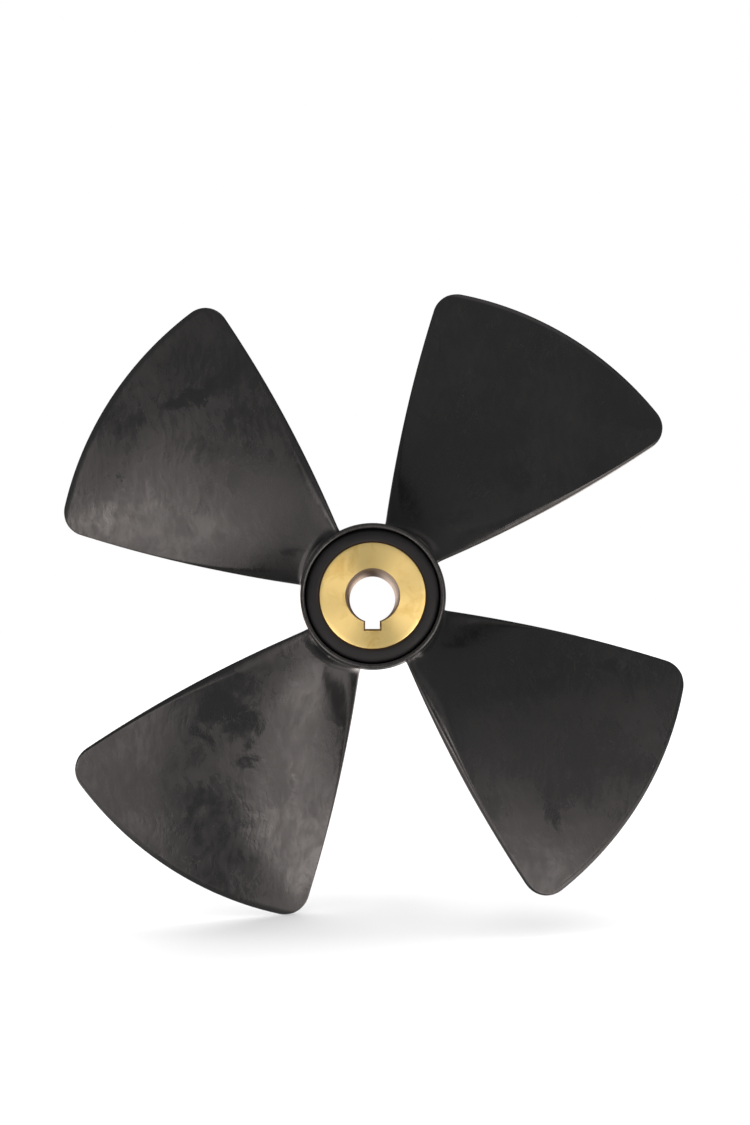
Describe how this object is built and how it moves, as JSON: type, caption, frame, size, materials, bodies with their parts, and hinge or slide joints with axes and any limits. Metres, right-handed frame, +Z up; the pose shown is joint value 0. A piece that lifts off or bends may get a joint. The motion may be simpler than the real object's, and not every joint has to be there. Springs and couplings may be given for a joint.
{
  "type": "ship propeller for a tunnel thruster",
  "caption": "Small moulded propeller with fan-shaped blades of left-hand pitch round a brass hub insert with a keyed bore, for a thruster in a ship's or boat's tunnel.",
  "frame": {"origin": "on the shaft axis, at the hub's rear end face, where the hub seats against the shaft's shoulder", "axes": "+Y along the shaft axis from the hub's front end, which carries the retaining nut and is the face in the picture, towards its rear end; +Z up, with the keyway at the bottom of the bore, on the -Z side; +X to the right as the front end is looked at"},
  "size_m": [0.2376, 0.06, 0.2376],
  "materials": {
    "black_composite": "satin moulded composite, lightly scuffed",
    "black_rubber": "matt",
    "brass": "turned end faces, satin bore"
  },
  "bodies": {
    "root": {"propeller_moulding": "black_composite", "rubber_bush": "black_rubber", "brass_hub_insert": "brass"}
  },
  "joints": []
}
